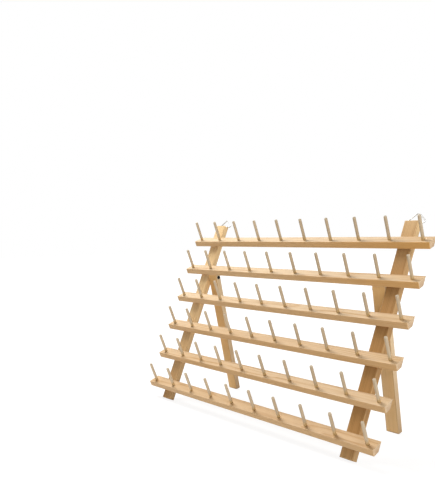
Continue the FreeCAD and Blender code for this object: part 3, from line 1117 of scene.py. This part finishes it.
def wood_colour(finish, wood, cream, honey, amber, umber, pale_late=None):
    """Cream wood that drifts to honey, with amber late wood and umber flecks and end rings. Edges
    that don't face down are paled towards cream, as wear and painted highlight, and the underside is
    darkened towards umber as painted shade. The late wood may have a colour of its own where the
    wood is pale."""
    depth = wood["drift"] * DRIFT_DEEPENS + wood["deep"] - wood["sawn"] * END_PALES
    tone = fade(finish, depth, *TONE_RANGE)
    colour = mix(finish, tone, cream, honey)
    late_colour = mix(finish, tone, pale_late, amber) if pale_late else amber
    colour = mix(finish, wood["late"], colour, late_colour)
    colour = mix(finish, fade(finish, wood["fibre"], *FIBRE_RANGE) * FIBRE_SHOWS, colour, amber)
    colour = mix(finish, wood["fleck"] * FLECK_SHOWS, colour, umber)
    colour = mix(finish, wood["sawn"] * wood["late"] * END_RINGS_SHOW, colour, umber)
    # Painted highlight with wear: edges that don't face down are paled.
    colour = mix(finish, wood["edge"] * (1 - wood["low"]) * EDGE_WEAR_AND_HIGHLIGHT_SHOWS, colour, cream)
    # Painted shade: the underside is darkened.
    return mix(finish, wood["low"] * UNDERSIDE_SHADE_SHOWS, colour, umber)


print("undersides are darkened by", UNDERSIDE_SHADE_SHOWS, "and edges paled by", EDGE_WEAR_AND_HIGHLIGHT_SHOWS)

# %% Mark what only a rail has
RAIL_END = (0.88, 0.67, 0.47, 1)
RAIL_END_SHOWS = 0.3
FOOT_STAIN_AND_SHADE = (0.53, 0.34, 0.115, 1)
STAIN_AND_SHADE_WIDE = 1.1 * MM
STAIN_AND_SHADE_UNEVEN = 0.9 * MM
STAIN_AND_SHADE_SHOWS = 0.45
TOP_RANGE = (-0.5 * MM, -0.1 * MM)
PAINTED_WARM_SHADE = (0.655, 0.36, 0.115, 1)
FRONT_RANGE = (RAIL_FRONT - 0.9 * MM, RAIL_FRONT - 0.2 * MM)


def rail_marks(finish, wood, colour):
    """Paler sawn ends, a thin ring round the foot of each peg that is partly glue and handling and
    partly painted shade where the peg meets the rail, and painted warm shade on the front."""
    colour = mix(finish, wood["sawn"] * RAIL_END_SHOWS, colour, RAIL_END)
    along, up, out = (axis_of(finish, wood["place"], axis) for axis in range(3))
    aside = (fraction(finish, (along + row_span / 2) / peg_pitch + 0.5) - 0.5) * peg_pitch
    away = (aside * aside + out * out) ** 0.5 + (wood["fibre"] - 0.5) * STAIN_AND_SHADE_UNEVEN
    # The ring round each peg's foot is glue stain with painted shade where the peg meets the rail.
    stain_and_shade = fade(finish, away, peg_radius + STAIN_AND_SHADE_WIDE, peg_radius) * fade(finish, up, *TOP_RANGE)
    colour = mix(finish, stain_and_shade * STAIN_AND_SHADE_SHOWS, colour, FOOT_STAIN_AND_SHADE)
    # Painted warm shade on the rail's front face.
    return mix(finish, fade(finish, out, *FRONT_RANGE) * wood["warm"], colour, PAINTED_WARM_SHADE)


print(f"stain reaches {STAIN_AND_SHADE_WIDE / MM:.1f} mm from a peg")

# %% Mix one board's finish
PINE_RING = 1.9 * MM
PINE_RINGS_SHOW = 0.6
PINE_RELIEF = 0.12 * MM
WOOD_BUMP = 0.35
WOOD_SHINE = 0.15
FIBRE_ROUGHER, END_ROUGHER, EDGE_SMOOTHER = 0.14, 0.15, 0.06
FIBRE_RAISED, LATE_RAISED, FLECK_SUNK = 0.6, 0.3, 0.4
UMBER = (0.30, 0.15, 0.055, 1)


def pine(name, rough, cream, honey, amber, pale_late=None, marks=None):
    """One board's wood under its varnish. The marks are what only some strips have."""
    finish = Finish(name)
    wood = grow_wood(finish, PINE_RING, PINE_RINGS_SHOW)
    colour = wood_colour(finish, wood, cream, honey, amber, UMBER, pale_late)
    if marks:
        colour = marks(finish, wood, colour)
    rough = rough + wood["fibre"] * FIBRE_ROUGHER + wood["sawn"] * END_ROUGHER
    rough = rough - wood["edge"] * EDGE_SMOOTHER
    height = wood["fibre"] * FIBRE_RAISED + wood["late"] * LATE_RAISED - wood["fleck"] * FLECK_SUNK
    return finish.surface(
        Base_Color=colour, Roughness=rough, Specular_IOR_Level=WOOD_SHINE,
        Normal=bumped(finish, height, PINE_RELIEF, WOOD_BUMP),
    )


print(f"rings are {PINE_RING / MM:.1f} mm wide")

# %% Finish the strips
rail_pine = pine(
    "rail_pine_satin", rough=0.34, cream=(0.685, 0.53, 0.345, 1), honey=(0.605, 0.405, 0.215, 1),
    amber=(0.45, 0.255, 0.10, 1), marks=rail_marks,
)
leg_pine = pine(
    "leg_pine_satin", rough=0.42, cream=(0.91, 0.665, 0.365, 1), honey=(0.475, 0.258, 0.093, 1),
    amber=(0.30, 0.15, 0.05, 1), pale_late=(0.66, 0.43, 0.20, 1),
)
# The back legs' palest cream shows mostly on their sides, as painted light.
prop_pine = pine(
    "prop_pine_satin", rough=0.42, cream=(0.95, 0.76, 0.50, 1), honey=(0.77, 0.47, 0.18, 1),
    amber=(0.70, 0.43, 0.16, 1), pale_late=(0.90, 0.69, 0.43, 1),
)
for strips, material in ((rails, rail_pine), (front_legs, leg_pine), (back_legs, prop_pine)):
    for strip in strips:
        strip.data.materials.append(material)
    print(material.name, "on", len(strips), "strips")

# %% [markdown]
# ## Dowel
# The pegs are a greyer, close-grained wood and left bare. They could share the strips' finish,
# but real dowels are bought in and don't match the boards. So the same growing recipe is used
# with narrower rings and its own tones. The sawn ends are darker, and the rims are paled as wear
# from handling and partly as painted highlight. The feet are darkened golden, partly as glue stain
# and partly as painted shade where the pegs meet the rails.

# %% Finish the pegs
DOWEL_RING = 1.1 * MM
DOWEL_RINGS_SHOW = 0.35
DOWEL_RELIEF = 0.08 * MM
DOWEL_FIBRE_RAISED = 0.7
DOWEL_ROUGH, DOWEL_FIBRE_ROUGHER, DOWEL_END_ROUGHER = 0.5, 0.15, 0.1
DOWEL_PALE = (0.66, 0.545, 0.39, 1)
DOWEL_DEEP = (0.52, 0.415, 0.285, 1)
DOWEL_LATE = (0.42, 0.305, 0.185, 1)
DOWEL_FLECK = (0.31, 0.215, 0.125, 1)
DOWEL_END = (0.35, 0.285, 0.205, 1)
DOWEL_END_SHOWS = 0.6
DOWEL_RUBBED = (0.76, 0.68, 0.54, 1)
DOWEL_RUB_SHOWS = 0.3
GLUE_AND_SHADE_TOP = 8.0 * MM
GLUE_AND_SHADE_FULL = 0.5 * MM
GLUE_AND_SHADE_UNEVEN = 6.0 * MM
GLUE_AND_SHADE_SHOWS = 0.75

dowel = Finish("dowel_bare")
wood = grow_wood(dowel, DOWEL_RING, DOWEL_RINGS_SHOW)
colour = wood_colour(dowel, wood, DOWEL_PALE, DOWEL_DEEP, DOWEL_LATE, DOWEL_FLECK)
colour = mix(dowel, wood["sawn"] * DOWEL_END_SHOWS, colour, DOWEL_END)
colour = mix(dowel, wood["edge"] * DOWEL_RUB_SHOWS, colour, DOWEL_RUBBED)
# Glue stain and painted shade at the foot of each peg, fading out up the peg.
up_the_peg = axis_of(dowel, wood["place"], 0) + (wood["fibre"] - 0.5) * GLUE_AND_SHADE_UNEVEN
colour = mix(dowel, fade(dowel, up_the_peg, GLUE_AND_SHADE_TOP, GLUE_AND_SHADE_FULL) * GLUE_AND_SHADE_SHOWS, colour, FOOT_STAIN_AND_SHADE)
height = wood["fibre"] * DOWEL_FIBRE_RAISED - wood["fleck"] * FLECK_SUNK
dowel.surface(
    Base_Color=colour, Specular_IOR_Level=WOOD_SHINE,
    Roughness=DOWEL_ROUGH + wood["fibre"] * DOWEL_FIBRE_ROUGHER + wood["sawn"] * DOWEL_END_ROUGHER,
    Normal=bumped(dowel, height, DOWEL_RELIEF, WOOD_BUMP),
)
for row_of_pegs in peg_rows:
    row_of_pegs.data.materials.append(dowel.material)
print("dowel on", len(peg_rows), "rows")

# %% [markdown]
# ## Steel
# The hangers and nails are bright plated steel with faint drawing lines and finger marks. The
# pivot screws are blackened, with bare metal showing where the finish has rubbed through. One
# grey would do for the colour. What the eye reads as metal is the gloss, so that is what varies
# most.

# %% Finish the bright steel
PLATED = (0.60, 0.59, 0.57, 1)
FINGERED = (0.44, 0.43, 0.41, 1)
FINGER_WAVES, DRAWN_WAVES = (260.0, 260.0), (300.0, 4200.0)
FINGER_RANGE, GREASE_RANGE = (0.35, 0.75), (0.3, 0.8)
PLATED_ROUGH, GREASE_ROUGHER, DRAWN_ROUGHER = 0.26, 0.16, 0.06
DRAWN_RELIEF, DRAWN_BUMP = 0.02 * MM, 0.15
SMUDGED = 4.0

bright = Finish("bright_steel_plated")
on_piece = bright.node("ShaderNodeTexCoord", output="Object")
fingers = stretched_noise(bright, on_piece, FINGER_WAVES, SMUDGED)
drawn = stretched_noise(bright, on_piece, DRAWN_WAVES, BROAD)
greasy = fade(bright, fingers, *GREASE_RANGE)
bright.surface(
    Base_Color=mix(bright, fade(bright, fingers, *FINGER_RANGE), PLATED, FINGERED),
    Roughness=PLATED_ROUGH + greasy * GREASE_ROUGHER + drawn * DRAWN_ROUGHER,
    Metallic=1.0,
    Normal=bumped(bright, drawn, DRAWN_RELIEF, DRAWN_BUMP),
)
bright_pieces = straps + rings + hanger_screws + nail_rows
for piece in bright_pieces:
    piece.data.materials.append(bright.material)
print("bright steel on", len(bright_pieces), "pieces")

# %% Finish the blackened screws
BLACKENED = (0.018, 0.017, 0.016, 1)
BARE = (0.16, 0.15, 0.14, 1)
RUB_WAVES, RUB_RANGE = (420.0, 420.0), (0.58, 0.72)
BLACK_ROUGH, RUB_SMOOTHER, WORN_ROUGHER = 0.5, 0.16, 0.1
WORN_RELIEF, WORN_BUMP = 0.05 * MM, 0.3
BLACK_METAL = 0.7

black = Finish("pivot_screw_blackened")
on_piece = black.node("ShaderNodeTexCoord", output="Object")
worn = stretched_noise(black, on_piece, RUB_WAVES, SMUDGED)
rubbed = fade(black, worn, *RUB_RANGE)
black.surface(
    Base_Color=mix(black, rubbed, BLACKENED, BARE),
    Roughness=BLACK_ROUGH - rubbed * RUB_SMOOTHER + worn * WORN_ROUGHER,
    Metallic=BLACK_METAL,
    Normal=bumped(black, worn, WORN_RELIEF, WORN_BUMP),
)
for piece in pivot_screws:
    piece.data.materials.append(black.material)
print("blackened steel on", len(pivot_screws), "pieces")

# %% [markdown]
# ## Floor
# The rack stands on a white sweep. A floor that is lit until it turns white would wash out the
# wood as well. So the camera sees the floor mostly as plain white, with just enough of the lit
# floor left near the rack to keep its shadow, and further off it is white altogether.

# %% Lay the floor
WHITE = (1, 1, 1, 1)
FLOOR_PAINT = (0.86, 0.86, 0.86, 1)
FLOOR_ROUGH = 0.9
FLOOR_HALF = 6
FLOOR_WHITE = 0.75
FLOOR_GLOW = 1.18
FLOOR_NEAR = 0.25
FLOOR_FAR = 0.6


def seen_directly(finish):
    """1 for rays that show the background: from the camera, in a reflection or through glass."""
    rays = ("Is Camera Ray", "Is Glossy Ray", "Is Transmission Ray")
    camera, glossy, through = (finish.node("ShaderNodeLightPath", output=ray) for ray in rays)
    clamped_sum = {"operation": "ADD", "use_clamp": True}
    return finish.node("ShaderNodeMath", clamped_sum, {0: camera + glossy, 1: through})


sweep = Finish("floor_white")
sweep.surface(Base_Color=FLOOR_PAINT, Roughness=FLOOR_ROUGH)
glow = sweep.node("ShaderNodeEmission", {}, {"Color": WHITE, "Strength": FLOOR_GLOW})
spot = sweep.node("ShaderNodeTexCoord", output="Object")
away = sweep.node("ShaderNodeVectorMath", {"operation": "LENGTH"}, {0: spot}, output="Value")
whiteness = FLOOR_WHITE + fade(sweep, away, FLOOR_NEAR, FLOOR_FAR) * (1 - FLOOR_WHITE)
lit = Amount(sweep, sweep.shader.outputs[0])
shown_white = seen_directly(sweep) * whiteness
blended = sweep.node("ShaderNodeMixShader", {}, {0: shown_white, 1: lit, 2: glow})
sweep.feed(sweep.tree.nodes["Material Output"].inputs["Surface"], blended)

ground = bmesh.new()
bmesh.ops.create_grid(ground, x_segments=1, y_segments=1, size=FLOOR_HALF)
floor_mesh = bpy.data.meshes.new("floor")
ground.to_mesh(floor_mesh)
ground.free()
floor_mesh.materials.append(sweep.material)
floor = bpy.data.objects.new("floor", floor_mesh)
bpy.context.scene.collection.objects.link(floor)
print(f"floor shows the shadow within {FLOOR_NEAR} m and is white from {FLOOR_FAR} m")

# %% [markdown]
# ## Room
# Pale walls all round send a little warm light into every shadow. Real walls could be built, but
# the world's own colour does the same. It is white to the camera and only a soft fill to the
# wood.

# %% Fill the room with soft light
FILL = 0.19
FILL_COLOUR = (1.0, 0.90, 0.78, 1)


class Room(Finish):
    """The world's nodes, made in the same way as a finish."""

    def __init__(self, world):
        self.material = world
        self.tree = world.node_tree
        self.shader = self.tree.nodes["Background"]


room = bpy.data.worlds.new("soft_room")
room.use_nodes = True
bpy.context.scene.world = room
around = Room(room)
seen = seen_directly(around)
around.surface(Color=mix(around, seen, FILL_COLOUR, WHITE), Strength=seen + (1 - seen) * FILL)
print("fill light", FILL)

# %% [markdown]
# ## Lamps
# The tops of the rails are the brightest wood and their fronts are in soft shade, so the main
# lamp hangs high on the left. One lamp alone would leave the legs too dark. A weak one in front
# lifts the faces that look at the camera, and one on the right brings out the sides of the legs.

# %% Hang the lamps
AIM = Vector((0, 0, 0.12))


def lamp(name, spot, size, watts):
    light = bpy.data.lights.new(name, "AREA")
    light.shape = "DISK"
    light.size = size
    light.energy = watts
    hung = bpy.data.objects.new(name, light)
    hung.location = spot
    hung.visible_camera = False
    hung.rotation_euler = (AIM - Vector(spot)).to_track_quat("-Z", "Y").to_euler()
    bpy.context.scene.collection.objects.link(hung)
    return hung


lamps = [
    lamp("overhead", spot=(-0.55, -0.05, 1.15), size=0.6, watts=16.2),
    lamp("front_fill", spot=(0.75, -0.85, 0.30), size=0.8, watts=2.6),
    lamp("right_side", spot=(1.35, -0.05, 0.65), size=0.8, watts=7.8),
]
print("lamps:", [hung.name for hung in lamps])

# %% [markdown]
# ## Camera
# The camera looks at the rack from its front right, a little from above. It could be aimed at the
# middle of the rack, but a fit to the pegs and legs gives its place more closely. The rack is low
# and right of the middle of the frame, so the lens is shifted by that much, as with a view
# camera.

# %% Set the camera
WIDE, TALL = 435, 495
SENSOR = 36.0
FOCAL_PIXELS = 584.02
MIDDLE = (240.0, 330.0)
CAMERA_SPOT = (0.52469, -0.5352, 0.23845)
YAW = 47.774
TILT = 9.245
ROLL = -0.583


def turned(degrees, axis):
    return Matrix.Rotation(math.radians(degrees), 3, axis)


camera = bpy.data.cameras.new("front_right")
camera.sensor_width = SENSOR
camera.lens = FOCAL_PIXELS * SENSOR / max(WIDE, TALL)
camera.shift_x = (WIDE / 2 - MIDDLE[0]) / max(WIDE, TALL)
camera.shift_y = (MIDDLE[1] - TALL / 2) / max(WIDE, TALL)
viewer = bpy.data.objects.new("front_right", camera)
viewer.location = CAMERA_SPOT
viewer.rotation_euler = (turned(YAW, "Z") @ turned(90 - TILT, "X") @ turned(ROLL, "Z")).to_euler()
bpy.context.scene.collection.objects.link(viewer)
bpy.context.scene.camera = viewer
bpy.context.scene.view_settings.view_transform = "Standard"
print(f"lens {camera.lens:.1f} mm, shift {camera.shift_x:.3f}, {camera.shift_y:.3f}")
